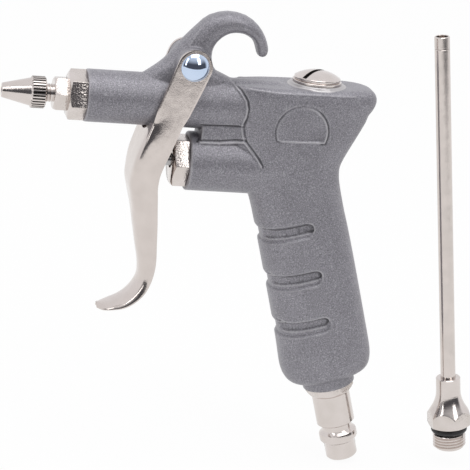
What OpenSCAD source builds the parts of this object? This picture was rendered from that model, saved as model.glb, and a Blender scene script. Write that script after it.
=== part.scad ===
// Pneumatic air duster with a raked grip, a trigger lever and a spare long nozzle.
// Lengths are in millimetres. The origin is the middle of the inlet plug's end face,
// +Z is up, +X points to the gun's rear and the nozzle blows along -X.

/* [Stance] */
// Height of the barrel's axis above the inlet plug's end
barrel_h = 118; // [116:0.2:124]
// Rake of the grip and the inlet plug from the vertical, in degrees
rake = 17; // [14:0.5:19]

/* [Barrel] */
// Diameter of the barrel
barrel_d = 16.7; // [16:0.1:16.8]
// Reach of the barrel in front of the grip's axis
barrel_reach = 62.2; // [58:0.2:68]
// Diameter of the barrel's air channel
channel_d = 7; // [5:0.2:7.6]

/* [Valve housing] */
// Distance from the barrel's axis down to the valve's axis
valve_drop = 19.3; // [18.6:0.1:20.2]
// Diameter of the valve housing
valve_d = 19; // [18:0.1:20]
// Reach of the valve housing in front of the grip's axis
valve_reach = 27.9; // [26.5:0.1:28.6]
// Diameter of the valve chamber
chamber_d = 12; // [11.6:0.1:12.4]
// Thickness of the web between barrel and valve housing
web_t = 12.2; // [10:0.2:14]

/* [Head] */
// Width of the head
head_w = 22; // [21:0.2:24]
// Height of the head's flat top above the barrel's axis
head_up = 7.7; // [7.2:0.1:8.2]
// Reach of the head behind the grip's axis
head_back = 32.8; // [30:0.2:36]
// Reach of the head's nose in front of the grip's axis
nose_reach = 17.8; // [17:0.2:19]
// Diameter of the round recess in the head's side
recess_d = 17; // [12:0.5:17.6]
// Depth of that recess
recess_cut = 0.4; // [0.2:0.1:0.8]

/* [Grip] */
// Depth of the grip, front to rear
grip_depth = 29.8; // [27:0.2:32]
// Width of the grip
grip_w = 23; // [22:0.2:26]
// Distance between two finger grooves
groove_pitch = 16.5; // [14:0.5:17]
// Height of a finger groove
groove_w = 5; // [4:0.2:6]
// Depth of a finger groove
groove_cut = 0.9; // [0.5:0.1:1.4]
// Diameter of the inlet boss under the grip
boss_d = 17.2; // [16.4:0.1:18]
// Length of that boss
boss_l = 3.7; // [3:0.1:5]

/* [Hook] */
// Height of the hook's top above the barrel's axis
hook_up = 29.8; // [28:0.2:33]
// Thickness of the hook, side to side
hook_t = 10; // [8:0.5:12]

/* [Pivot] */
// Height of the pivot above the barrel's axis
pivot_up = 13.1; // [12.8:0.1:14]
// Reach of the pivot in front of the grip's axis
pivot_reach = 29.9; // [29:0.1:31]
// Diameter of the pivot boss
pivot_boss_d = 11; // [10:0.2:12]
// Diameter of the rivet's shank
rivet_d = 5; // [4:0.1:5.6]
// Diameter of the rivet's domed heads
rivet_head_d = 8.9; // [8:0.1:10]
// Height of a domed head
rivet_head_h = 2.1; // [1.5:0.1:3]

/* [Trigger] */
// Width of the lever over its arms
lever_w = 19.9; // [19.6:0.1:21]
// Thickness of the lever's sheet
sheet_t = 1.5; // [1.2:0.1:1.5]
// Length of the lever from the pivot down to its tip
lever_l = 81; // [76:0.5:88]
// Width of an arm's round end
arm_w = 11; // [10:0.2:12]

/* [Valve] */
// Width over the gland nut's flats
gland_af = 15; // [14.6:0.1:15.6]
// Length of the gland nut's hexagon
gland_l = 5; // [4:0.1:5.4]
// Diameter of the push pin
stem_d = 4; // [3.6:0.1:4.4]

/* [Nozzle] */
// Width over the bushing's flats
bushing_af = 14; // [13.6:0.1:15]
// Length of the bushing's hexagon
bushing_l = 5.7; // [5:0.1:7]
// Width over the nozzle holder's flats
holder_af = 10; // [9.4:0.1:11]
// Length of the holder's hexagon
holder_l = 4.4; // [3.6:0.1:5]
// Free length of the threaded stub between hexagon and tip
stub_show = 2.5; // [1.5:0.1:3]
// Diameter of the threaded stub
stub_d = 5.9; // [5.4:0.1:6.2]
// Length of the tip's knurl
knurl_l = 4.6; // [4:0.1:6]
// Diameter of the knurl
knurl_d = 10.1; // [9.4:0.1:11]
// Length of the tip's cone
cone_l = 9.1; // [8:0.1:12]
// Diameter of the tip's end
tip_d = 4.6; // [4:0.1:5]

/* [Port plug] */
// Diameter of the slotted dome
port_d = 15; // [14:0.2:16]
// Height of the dome
port_h = 3.5; // [2.4:0.1:4]
// Reach of the port behind the grip's axis
port_back = 11.9; // [10:0.1:14]

/* [Inlet plug] */
// Diameter of the plug's nose
nose_d = 10.4; // [10:0.1:10.6]
// Length of the nose
nose_l = 5.5; // [4.5:0.1:6.5]
// Diameter of the locking collar
collar_d = 12.5; // [12:0.1:13]
// Length of the locking collar
collar_l = 4.4; // [3.6:0.1:5]
// Diameter of the plug's neck
neck_d = 10; // [9.4:0.1:10.4]
// Diameter of the plug's body
plug_d = 12.6; // [12:0.1:13.4]
// Width over the flats of the plug's hexagon
plug_af = 13.8; // [13.6:0.1:15]
// Length of the whole plug below the boss
plug_l = 25.6; // [23:0.2:28]

/* [Spare nozzle] */
// Length of the whole spare nozzle
spare_l = 142.2; // [110:1:160]
// Lean of the spare nozzle, in degrees
spare_lean = 8.9; // [0:0.1:12]
// Diameter of its tube
tube_d = 5; // [4.6:0.1:5.4]
// Width over the flats of its hexagon
spare_af = 13; // [12.4:0.1:14]
// Diameter of its thread
spare_thread_d = 11; // [10:0.1:11.4]
// Length of its thread
spare_thread_l = 5.4; // [5:0.1:7]

/* [Hidden] */
$fn = 72;

// overrun of every cut, running clearance of a shaft and seating clearance of a fixed piece
over = 1;
run_gap = 0.06;
seat_gap = 0.03;
// room between the lever and the casting's pivot boss
arm_gap = 0.3;

// places that the pieces share
axis_x = -barrel_h * tan(rake);
barrel_front = axis_x - barrel_reach;
valve_h = barrel_h - valve_drop;
valve_front = axis_x - valve_reach;
head_top = barrel_h + head_up;
grip_end = plug_l + boss_l;
pivot_x = axis_x - pivot_reach;
pivot_h = barrel_h + pivot_up;
port_x = axis_x + port_back;
arm_in = lever_w / 2 - sheet_t;

// distance from the valve housing's front back to the web's, then lengths inside the gun
web_back = 3;
mouth_d = 11.06;
mouth_l = 8;
seal_t = 0.9;
bushing_seal_d = 13;
gland_thread_d = 12.8;
gland_thread_l = 5.5;
gland_ring_d = 14.6;
cage_l = 12;
pocket_d = 7.4;
pocket_l = 2;
guide_l = 2;
seat_l = 1.5;
seat_d = 6;
gallery_d = 5;
cage_port_d = 3;
rod_d = 2.5;
poppet_d = 9.2;
poppet_t = 2;
poppet_tail_d = 4;
poppet_tail_l = 2;
spring_room = 12;
passage_d = 8.4;
grip_bore_d = 8;
inlet_thread_d = 13.16;
inlet_thread_l = 9;
inlet_counter_d = 13.8;
inlet_counter_l = 1.2;
port_bore_d = 9;
port_thread_d = 11.8;
port_thread_l = 6;
port_rim_d = 17.5;
port_rim_h = 1.2;
port_washer_t = 0.8;
port_slot_w = 1.3;
port_slot_cut = 1.9;
port_slot_turn = 52;
tip_room = 5.9;
tip_bore_d = 2;
holder_bore_d = 3;
holder_stud_d = 7.9;
holder_stud_l = 5;
edge = 0.6;

// fore and aft places of the valve's pieces
cage_x = valve_front + gland_thread_l;
seat_x = cage_x + cage_l;
gallery_x = seat_x - seat_l - gallery_d / 2 - edge;
poppet_x = seat_x + seal_t;
chamber_end = poppet_x + poppet_t + spring_room;
channel_end = gallery_x + gallery_d / 2;

// Catmull-Rom point between b and c
function between(a, b, c, d, t) =
    0.5 * (2 * b + (c - a) * t + (2 * a - 5 * b + 4 * c - d) * t * t + (3 * b - a - 3 * c + d) * t * t * t);
// the rows of a table with steps - 1 rows put between each two
function finer(rows, steps) = concat(
    [for (i = [0:len(rows) - 2]) for (j = [0:steps - 1])
        between(rows[max(i - 1, 0)], rows[i], rows[i + 1], rows[min(i + 2, len(rows) - 1)], j / steps)],
    [rows[len(rows) - 1]]);
// half width of a rounded section, as a share, at share v of the way out, with roundness p
function bulge(v, p) = pow(max(0, 1 - pow(v, p)), 1 / max(p, 2.4));

// closed solid over rings with the same number of points; a folded ring's ends are closed as strips
module skin(rings, folded = false) {
    n = len(rings[0]);
    m = len(rings);
    strip = [for (j = [0:n / 2 - 2]) [j, j + 1, n - 2 - j, n - 1 - j]];
    polyhedron([for (r = rings) each r], concat(
        folded ? [for (q = strip) each [[q[0], q[1], q[2]], [q[0], q[2], q[3]]]] : [[for (j = [0:n - 1]) j]],
        [for (i = [0:m - 2]) for (j = [0:n - 1]) [i * n + j, (i + 1) * n + j, (i + 1) * n + (j + 1) % n]],
        [for (i = [0:m - 2]) for (j = [0:n - 1]) [i * n + j, (i + 1) * n + (j + 1) % n, i * n + (j + 1) % n]],
        folded ? [for (q = strip) let (e = q + [1, 1, 1, 1] * (m - 1) * n) each [[e[0], e[2], e[1]], [e[0], e[3], e[2]]]]
            : [[for (j = [n - 1:-1:0]) (m - 1) * n + j]]));
}

// frame of the barrel, the valve, the raked grip and the spare nozzle, each with +Z along the piece
module on_barrel(x) { translate([x, 0, barrel_h]) rotate([0, 90, 0]) children(); }
module on_valve(x) { translate([x, 0, valve_h]) rotate([0, 90, 0]) children(); }
module raked(s) { rotate([0, -rake, 0]) translate([0, 0, s]) children(); }
module on_spare(s) { translate([spare_x, 0, spare_z]) rotate([0, -spare_lean, 0]) translate([0, 0, s]) children(); }

module ring(d_out, d_in, l) {
    difference() {
        cylinder(d = d_out, h = l);
        translate([0, 0, -over]) cylinder(d = d_in, h = l + 2 * over);
    }
}

module o_ring(d_in, wire) {
    translate([0, 0, wire / 2]) rotate_extrude() translate([(d_in + wire) / 2, 0]) circle(d = wire, $fn = 32);
}

// hexagon over its flats, its corners turned off at the low end, and at both ends where both is true
turned_l_share = 0.05;
turned_face_share = 0.98;
corner_share = 1.16;
module hexagon(af, l, both = false) {
    turned_l = af * turned_l_share;
    intersection() {
        cylinder(d = af / cos(30), h = l, $fn = 6);
        union() {
            cylinder(d1 = af * turned_face_share, d2 = af * corner_share, h = turned_l);
            translate([0, 0, turned_l]) cylinder(d = af * corner_share, h = l - (both ? 2 : 1) * turned_l);
            if (both) translate([0, 0, l - turned_l])
                cylinder(d1 = af * corner_share, d2 = af * turned_face_share, h = turned_l);
        }
    }
}

// Head and grip: a skin over sections that tilt with the rake.
// Top of the head: height over head_up, front over nose_reach, rear over head_back, width over head_w
top_shares = [
    [0.00, 1.000, 0.895, 1.000], [0.23, 0.972, 0.952, 1.000], [0.53, 0.935, 1.000, 0.995],
    [0.76, 0.907, 1.005, 0.964], [0.92, 0.888, 0.975, 0.900], [1.00, 0.843, 0.900, 0.790]];
// Neck: depth under the barrel's axis over valve_drop, tilt over rake, then as above, and the nose's share
neck_shares = [
    [1.235, 0.20, 0.888, 0.470, 1.00, 0.45], [1.028, 0.05, 0.994, 0.485, 1.00, 0.70],
    [0.849, 0.00, 1.090, 0.521, 1.00, 0.85], [0.613, 0.00, 1.170, 0.622, 1.00, 1.00],
    [0.358, 0.00, 1.112, 0.743, 1.00, 1.00], [0.113, 0.00, 1.030, 0.856, 1.00, 1.00]];
// Grip: height over the grip's, tilt over rake, front and rear over grip_depth, width over grip_w
grip_shares = [
    [0.000, 1.00, 0.240, 0.300, 0.50], [0.008, 1.00, 0.360, 0.400, 0.72], [0.030, 1.00, 0.440, 0.466, 0.87],
    [0.065, 1.00, 0.482, 0.500, 0.95], [0.110, 1.00, 0.498, 0.517, 0.98], [0.175, 1.00, 0.494, 0.521, 0.99],
    [0.260, 1.00, 0.485, 0.521, 1.00], [0.450, 1.00, 0.479, 0.521, 1.00], [0.640, 1.00, 0.477, 0.519, 1.00],
    [0.790, 0.90, 0.476, 0.514, 0.99], [0.895, 0.65, 0.479, 0.509, 0.98], [0.990, 0.40, 0.490, 0.514, 0.97]];
// tilt of the head's top over rake, its rear end up
head_tilt_share = 0.075;
grip_foot = grip_end * cos(rake);
grip_head = valve_h - valve_d / 2;
shell_rows = concat(
    [for (r = grip_shares) [grip_foot + (grip_head - grip_foot) * r[0], r[1], r[2] * grip_depth,
        r[3] * grip_depth, r[4] * grip_w / 2, 0]],
    [for (r = neck_shares) [barrel_h - valve_drop * r[0], r[1], r[2] * nose_reach, r[3] * head_back,
        r[4] * head_w / 2, r[5]]],
    [for (r = top_shares) [barrel_h + head_up * r[0], head_tilt_share * r[0], r[1] * nose_reach,
        r[2] * head_back, r[3] * head_w / 2, 1]]);
shell_sides = 56;
function shell_ring(r, inset) = [for (i = [0:shell_sides - 1])
    let (a = 360 * (i + 0.5) / shell_sides, v = pow(abs(cos(a)), 0.85), p = 2.4 + (cos(a) > 0 ? 1.2 : -1.1) * r[5],
         u = (cos(a) > 0 ? r[3] - inset : inset - r[2]) * v, tilt = rake * r[1])
    [-r[0] * tan(rake) + u * cos(tilt), (r[4] - inset) * sign(sin(a)) * bulge(v, p), r[0] + u * sin(tilt)]];

// Hook: front and rear edge of each station, out from the pivot over hook_rise, and width over hook_t
hook_shares = [
    [-1.100, -0.480, 0.900, -0.480, 1.10], [-0.860, -0.270, 0.830, -0.285, 1.12],
    [-0.640, -0.110, 0.530, -0.160, 1.15], [-0.440, 0.080, 0.415, 0.020, 1.12],
    [-0.175, 0.430, 0.395, 0.245, 1.05], [0.065, 0.700, 0.470, 0.420, 1.00],
    [0.295, 0.905, 0.620, 0.555, 0.98], [0.630, 1.000, 0.770, 0.606, 0.97],
    [0.980, 0.945, 0.950, 0.600, 0.94], [1.229, 0.780, 1.100, 0.530, 0.88],
    [1.375, 0.585, 1.180, 0.450, 0.80], [1.440, 0.440, 1.225, 0.350, 0.72],
    [1.470, 0.339, 1.255, 0.260, 0.64], [1.465, 0.240, 1.290, 0.195, 0.50], [1.425, 0.180, 1.350, 0.170, 0.20]];
hook_rise = hook_up - pivot_up;
hook_sides = 28;
function hook_ring(r) = [for (i = [0:hook_sides - 1])
    let (a = 360 * (i + 0.5) / hook_sides, v = pow(abs(cos(a)), 0.85), g = (1 + sign(cos(a)) * v) / 2)
    [pivot_x + hook_rise * (r[0] + (r[2] - r[0]) * g),
     hook_t / 2 * r[4] * sign(sin(a)) * bulge(v, cos(a) > 0 ? 2.6 : 1.8),
     pivot_h + hook_rise * (r[1] + (r[3] - r[1]) * g)]];

groove_reach = 2.4;
first_groove = 51;

module groove_slots() {
    for (i = [0:2]) raked(first_groove + groove_pitch * i) {
        translate([groove_reach - groove_w / 2, 0, 0]) rotate([90, 0, 0])
            cylinder(d = groove_w, h = 2 * grip_w, center = true);
        translate([-grip_depth, -grip_w, -groove_w / 2])
            cube([grip_depth + groove_reach - groove_w / 2, 2 * grip_w, groove_w]);
    }
}

recess_back = 6.5;
recess_x = axis_x + recess_back;
recess_drop = 5.5;
recess_ledge = 3.3;
module recess() {
    translate([recess_x, recess_cut - head_w / 2, barrel_h - recess_drop]) rotate([90, 0, 0]) intersection() {
        cylinder(d = recess_d, h = recess_cut + over);
        translate([-recess_d, -recess_ledge, 0]) cube([2 * recess_d, 2 * recess_d, recess_cut + over]);
    }
}

module body_casting() color([0.52, 0.52, 0.54]) {
    difference() {
        union() {
            difference() {
                skin([for (r = finer(shell_rows, 2)) shell_ring(r, 0)]);
                difference() {
                    groove_slots();
                    skin([for (r = finer(shell_rows, 1)) shell_ring(r, groove_cut)]);
                }
                recess();
            }
            skin([for (r = finer(hook_shares, 2)) hook_ring(r)]);
            on_barrel(barrel_front) cylinder(d = barrel_d, h = barrel_reach);
            on_valve(valve_front) cylinder(d = valve_d, h = valve_reach);
            translate([valve_front + web_back, -web_t / 2, valve_h]) cube([valve_reach, web_t, valve_drop]);
            translate([pivot_x, 0, pivot_h]) rotate([90, 0, 0])
                cylinder(d = pivot_boss_d, h = 2 * (arm_in - arm_gap), center = true);
            raked(plug_l) cylinder(d = boss_d, h = 2 * boss_l);
            translate([port_x, 0, head_top - edge]) cylinder(d = port_rim_d, h = edge + port_rim_h);
        }
        on_barrel(barrel_front - over) {
            cylinder(d = mouth_d, h = over + mouth_l);
            cylinder(d = bushing_seal_d, h = over + seal_t);
            cylinder(d = channel_d, h = over + channel_end - barrel_front);
        }
        on_valve(valve_front - over) {
            cylinder(d = gland_ring_d + 2 * seat_gap, h = over + seal_t);
            cylinder(d = gland_thread_d + 2 * seat_gap, h = over + gland_thread_l);
            cylinder(d = chamber_d, h = over + chamber_end - valve_front);
            cylinder(d = passage_d, h = over + port_x - valve_front);
        }
        translate([gallery_x, 0, valve_h]) cylinder(d = gallery_d, h = valve_drop);
        raked(plug_l - over) {
            cylinder(d = inlet_counter_d, h = over + inlet_counter_l);
            cylinder(d = inlet_thread_d + 2 * seat_gap, h = over + inlet_counter_l + inlet_thread_l);
            cylinder(d = grip_bore_d, h = over + valve_h / cos(rake) - plug_l);
        }
        translate([port_x, 0, valve_h]) cylinder(d = port_bore_d, h = head_up + valve_drop);
        translate([port_x, 0, head_top + port_rim_h - port_thread_l])
            cylinder(d = port_thread_d + 2 * seat_gap, h = port_thread_l + over);
        translate([pivot_x, 0, pivot_h]) rotate([90, 0, 0])
            cylinder(d = rivet_d + 2 * seat_gap, h = lever_w, center = true);
    }
}

// Lever: crown of the channel, its rim, half width and squareness at stations from the web's top to the tip.
// Places are shares of lever_l from the pivot, widths are shares of lever_w
lever_shares = [
    [-0.1672, -0.2975, -0.0469, -0.3074, 1.000, 9.0], [-0.1808, -0.3420, -0.0630, -0.3519, 1.000, 9.0],
    [-0.1925, -0.3877, -0.0790, -0.3938, 0.998, 8.0], [-0.1997, -0.4395, -0.0926, -0.4432, 0.980, 6.5],
    [-0.2021, -0.4889, -0.0951, -0.4926, 0.935, 5.0], [-0.1912, -0.5383, -0.0901, -0.5321, 0.870, 3.8],
    [-0.1767, -0.5963, -0.0840, -0.5864, 0.805, 3.0], [-0.1629, -0.6630, -0.0765, -0.6531, 0.750, 2.6],
    [-0.1463, -0.7395, -0.0704, -0.7296, 0.705, 2.4], [-0.1312, -0.8037, -0.0654, -0.8012, 0.680, 2.3],
    [-0.1247, -0.8432, -0.0691, -0.8531, 0.670, 2.3], [-0.1244, -0.8795, -0.0802, -0.8975, 0.670, 2.3],
    [-0.1367, -0.9130, -0.1000, -0.9390, 0.680, 2.3], [-0.1590, -0.9461, -0.1346, -0.9751, 0.690, 2.3],
    [-0.1884, -0.9730, -0.1741, -0.9990, 0.670, 2.4], [-0.2215, -0.9892, -0.2185, -1.0110, 0.590, 2.4],
    [-0.2521, -0.9980, -0.2520, -1.0190, 0.420, 2.2], [-0.2741, -1.0000, -0.2741, -1.0200, 0.140, 2.0]];
// rise of the web's upper corners into the arms, and the lever's rear edge under the pivot
corner_rise_share = 0.07;
arm_edge_shares = [[-0.0700, -0.3930], [-0.0370, -0.2830], [-0.0062, -0.2136], [0.0420, -0.0827]];
arm_front_shares = [[-0.1390, -0.2148], [-0.1500, -0.2400], [-0.1500, -0.3000]];
arm_lean = 17.4;
lever_sides = 18;
lever_rows = finer(lever_shares, 3);
// the web's rear face at the valve's height, where the push pin meets it
web_rear = pivot_x + sheet_t + lever_l * lookup(-(pivot_h - valve_h) / lever_l,
    [for (r = lever_shares) [r[1], r[0]]]);

function lever_ring(k) =
    let (r = lever_rows[k], crown = [r[0], r[1]] * lever_l, rim = [r[2], r[3]] * lever_l,
         deep = norm(rim - crown), dir = (rim - crown) / deep, half = lever_w / 2 * r[4], q = 2 / r[5],
         rise = k == 0 ? corner_rise_share * lever_l : 0)
    concat(
        [for (i = [0:lever_sides]) let (a = -90 + 180 * i / lever_sides)
            lever_point(crown, dir, sin(a), cos(a), half, deep, 0, q, rise)],
        [for (i = [lever_sides:-1:0]) let (a = -90 + 180 * i / lever_sides)
            lever_point(crown, dir, sin(a), cos(a), half - min(sheet_t, half / 4), deep - sheet_t, sheet_t, q, rise)]);
function lever_point(crown, dir, s, c, half, deep, start, q, rise) =
    let (y = sign(s) * pow(abs(s), q), d = start + deep * (1 - pow(abs(c), q)))
    [crown[0] + dir[0] * d + rise * sin(arm_lean) * pow(abs(y), 8), half * y,
     crown[1] + dir[1] * d + rise * cos(arm_lean) * pow(abs(y), 8)];

module arm_plate() {
    linear_extrude(sheet_t - 2 * seat_gap) polygon(concat(
        [for (i = [0:24]) let (a = 180 * i / 24 - arm_lean) arm_w / 2 * [cos(a), sin(a)]],
        arm_front_shares * lever_l, arm_edge_shares * lever_l));
}
module trigger_lever() color([0.86, 0.83, 0.8]) {
    difference() {
        translate([pivot_x, 0, pivot_h]) {
            skin([for (k = [0:len(lever_rows) - 1]) lever_ring(k)], folded = true);
            for (y = [-arm_in - seat_gap, lever_w / 2 - seat_gap])
                translate([0, y, 0]) rotate([90, 0, 0]) arm_plate();
        }
        translate([pivot_x, 0, pivot_h]) rotate([90, 0, 0])
            cylinder(d = rivet_d + 2 * run_gap, h = 2 * lever_w, center = true);
    }
}

module dome(d, h) {
    ball = (d * d / 4 + h * h) / (2 * h);
    intersection() {
        translate([0, 0, h - ball]) sphere(r = ball);
        cylinder(d = d, h = h);
    }
}

module pivot_rivet() color([0.75, 0.8, 0.86]) {
    translate([pivot_x, 0, pivot_h]) {
        rotate([90, 0, 0]) cylinder(d = rivet_d, h = lever_w + 2 * run_gap, center = true);
        for (a = [90, -90]) rotate([a, 0, 0]) translate([0, 0, lever_w / 2 + run_gap]) dome(rivet_head_d, rivet_head_h);
    }
}

gland_turn = 28.7;
module valve_gland_nut() color([0.88, 0.87, 0.83]) {
    difference() {
        union() {
            on_valve(valve_front - gland_l) rotate([0, 0, gland_turn]) hexagon(gland_af, gland_l);
            on_valve(valve_front - edge) cylinder(d = gland_thread_d, h = gland_thread_l + edge - seat_gap);
        }
        on_valve(valve_front - gland_l - over) cylinder(d = stem_d + 2 * run_gap, h = gland_l + gland_thread_l + 2 * over);
    }
}

module gland_ring() color([0.1, 0.1, 0.1])
    on_valve(valve_front + seat_gap) ring(gland_ring_d, gland_thread_d + 2 * seat_gap, seal_t - 2 * seat_gap);

stem_front = web_rear + 2 * run_gap;
module valve_stem() color([0.8, 0.8, 0.8]) {
    on_valve(stem_front + stem_d / 2) {
        sphere(d = stem_d);
        cylinder(d = stem_d, h = cage_x + pocket_l + guide_l - stem_front - stem_d / 2);
    }
    on_valve(cage_x + pocket_l) cylinder(d = rod_d, h = poppet_x + poppet_t / 2 - cage_x - pocket_l);
}

module stem_o_ring() color([0.1, 0.1, 0.1])
    on_valve(cage_x + seat_gap) o_ring(stem_d + 2 * run_gap, (pocket_d - stem_d) / 2 - run_gap - seat_gap);

module valve_cage() color([0.8, 0.65, 0.35]) {
    difference() {
        on_valve(cage_x + seat_gap) cylinder(d = chamber_d - 2 * seat_gap, h = cage_l - seat_gap);
        on_valve(cage_x - over) cylinder(d = pocket_d, h = over + pocket_l);
        on_valve(cage_x - over) cylinder(d = stem_d + 2 * run_gap, h = over + cage_l);
        on_valve(cage_x + pocket_l + guide_l) cylinder(d = seat_d, h = cage_l);
        on_valve(cage_x + pocket_l) difference() {
            cylinder(d = chamber_d + over, h = guide_l);
            cylinder(d = pocket_d + 2 * edge, h = guide_l);
        }
        for (a = [0, 90]) translate([gallery_x, 0, valve_h]) rotate([a, 0, 0])
            cylinder(d = cage_port_d, h = 2 * chamber_d, center = true);
    }
}

module cage_o_ring() color([0.1, 0.1, 0.1])
    on_valve(cage_x + pocket_l + seat_gap)
        o_ring(pocket_d + 2 * edge + 2 * seat_gap, (chamber_d - pocket_d) / 2 - edge - 3 * seat_gap);

module valve_poppet() color([0.8, 0.65, 0.35]) {
    difference() {
        union() {
            on_valve(poppet_x) cylinder(d = poppet_d, h = poppet_t);
            on_valve(poppet_x) cylinder(d = poppet_tail_d, h = poppet_t + poppet_tail_l);
        }
        on_valve(poppet_x - over) cylinder(d = rod_d + 2 * seat_gap, h = over + poppet_t / 2);
    }
}

module poppet_seal() color([0.1, 0.1, 0.1])
    on_valve(seat_x + seat_gap) ring(poppet_d - edge, rod_d + 2 * seat_gap, seal_t - 2 * seat_gap);

// Valve spring: one helix of round wire between the poppet and the chamber's end
spring_curls = 6;
spring_wire = 0.7;
spring_d = 7.2;
spring_l = spring_room - 2 * seat_gap - spring_wire;
echo(spring_gap = spring_l / spring_curls - spring_wire);
module valve_spring() color([0.7, 0.7, 0.72]) {
    on_valve(poppet_x + poppet_t + seat_gap + spring_wire / 2)
        skin([for (k = [0:spring_curls * 12]) let (a = 360 * k / 12)
            [for (i = [0:5]) let (b = 60 * i, q = spring_d / 2 + spring_wire / 2 * cos(b))
                [q * cos(a), q * sin(a), spring_l * k / (spring_curls * 12) + spring_wire / 2 * sin(b)]]]);
}

bushing_turn = -12;
module nozzle_bushing() color([0.88, 0.87, 0.83]) {
    difference() {
        union() {
            on_barrel(barrel_front - bushing_l) rotate([0, 0, bushing_turn]) hexagon(bushing_af, bushing_l);
            on_barrel(barrel_front - edge) cylinder(d = mouth_d - 2 * seat_gap, h = mouth_l + edge - seat_gap);
        }
        on_barrel(barrel_front - bushing_l - over) cylinder(d = holder_stud_d + 2 * seat_gap, h = over + holder_stud_l + seat_gap);
        on_barrel(barrel_front - bushing_l) cylinder(d = holder_stud_d - 2 * edge, h = bushing_l + mouth_l + over);
    }
}

module bushing_seal() color([0.1, 0.1, 0.1])
    on_barrel(barrel_front + seat_gap) ring(bushing_seal_d - 2 * seat_gap, mouth_d, seal_t - 2 * seat_gap);

// fore and aft places of the nozzle's pieces
holder_x = barrel_front - bushing_l - holder_l;
tip_rear = holder_x - stub_show;
knurl_front = tip_rear - knurl_l;
tip_front = knurl_front - cone_l;
holder_turn = -31.5;

module nozzle_holder() color([0.88, 0.87, 0.83]) {
    difference() {
        union() {
            on_barrel(holder_x) rotate([0, 0, holder_turn]) hexagon(holder_af, holder_l);
            on_barrel(holder_x) cylinder(d = holder_stud_d, h = holder_l + holder_stud_l);
            on_barrel(tip_rear - tip_room + seal_t) cylinder(d = stub_d, h = stub_show + tip_room - seal_t + edge);
        }
        on_barrel(tip_rear - tip_room - over) cylinder(d = holder_bore_d, h = 2 * tip_room + holder_l + holder_stud_l + over);
    }
}

knurls = 30;
knurl_cut = 0.35;
module nozzle_tip() color([0.86, 0.84, 0.8]) {
    difference() {
        union() {
            on_barrel(knurl_front) linear_extrude(knurl_l) polygon([for (i = [0:2 * knurls - 1])
                let (q = knurl_d / 2 - knurl_cut * (i % 2)) q * [cos(180 * i / knurls), sin(180 * i / knurls)]]);
            on_barrel(tip_front) cylinder(d1 = tip_d, d2 = knurl_d - 2 * knurl_cut - edge / 2, h = cone_l);
        }
        on_barrel(tip_rear - tip_room) cylinder(d = stub_d + 2 * run_gap, h = tip_room + over);
        on_barrel(tip_front - over) cylinder(d = tip_bore_d, h = cone_l + knurl_l);
    }
}

module tip_seal() color([0.1, 0.1, 0.1])
    on_barrel(tip_rear - tip_room + seat_gap) ring(stub_d, holder_bore_d, seal_t - 2 * seat_gap);

port_base = head_top + port_rim_h + port_washer_t;
module port_plug() color([0.86, 0.84, 0.8]) {
    difference() {
        union() {
            translate([port_x, 0, port_base]) dome(port_d, port_h);
            translate([port_x, 0, port_base + edge - port_washer_t - port_thread_l])
                cylinder(d = port_thread_d, h = port_thread_l + port_washer_t);
        }
        translate([port_x, 0, port_base + port_h - port_slot_cut]) rotate([0, 0, port_slot_turn])
            translate([-port_d, -port_slot_w / 2, 0]) cube([2 * port_d, port_slot_w, port_h]);
    }
}

module port_plug_washer() color([0.15, 0.15, 0.15])
    translate([port_x, 0, head_top + port_rim_h + seat_gap])
        ring(port_d + edge, port_thread_d + 2 * seat_gap, port_washer_t - 2 * seat_gap);

plug_neck_l = 2.5;
plug_hex_l = 3.2;
plug_bore_d = 7;
collar_edge = 1;
module inlet_plug() color([0.86, 0.84, 0.8]) {
    collar_s = nose_l + collar_l;
    body_s = collar_s + plug_neck_l;
    difference() {
        union() {
            raked(0) cylinder(d = nose_d, h = nose_l);
            raked(nose_l) cylinder(d1 = nose_d, d2 = collar_d, h = collar_edge);
            raked(nose_l + collar_edge) cylinder(d = collar_d, h = collar_l - 2 * collar_edge);
            raked(collar_s - collar_edge) cylinder(d1 = collar_d, d2 = neck_d, h = collar_edge);
            raked(collar_s) cylinder(d = neck_d, h = plug_neck_l);
            raked(body_s) cylinder(d1 = plug_d - edge, d2 = plug_d, h = edge / 2);
            raked(body_s + edge / 2) cylinder(d = plug_d, h = plug_l - plug_hex_l - body_s - edge / 2);
            raked(plug_l - plug_hex_l) rotate([0, 0, 30]) hexagon(plug_af, plug_hex_l - seat_gap, both = true);
            raked(plug_l - edge) cylinder(d = inlet_thread_d - 2 * inlet_counter_l, h = edge + inlet_counter_l + edge);
            raked(plug_l + inlet_counter_l) cylinder(d = inlet_thread_d, h = inlet_thread_l - edge);
        }
        raked(-over) cylinder(d = plug_bore_d, h = plug_l + inlet_counter_l + inlet_thread_l + 2 * over);
    }
}

module inlet_seal() color([0.1, 0.1, 0.1])
    raked(plug_l + seat_gap) ring(inlet_counter_d - 2 * seat_gap, inlet_thread_d - 2 * inlet_counter_l + 2 * seat_gap,
        inlet_counter_l - 2 * seat_gap);

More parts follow.
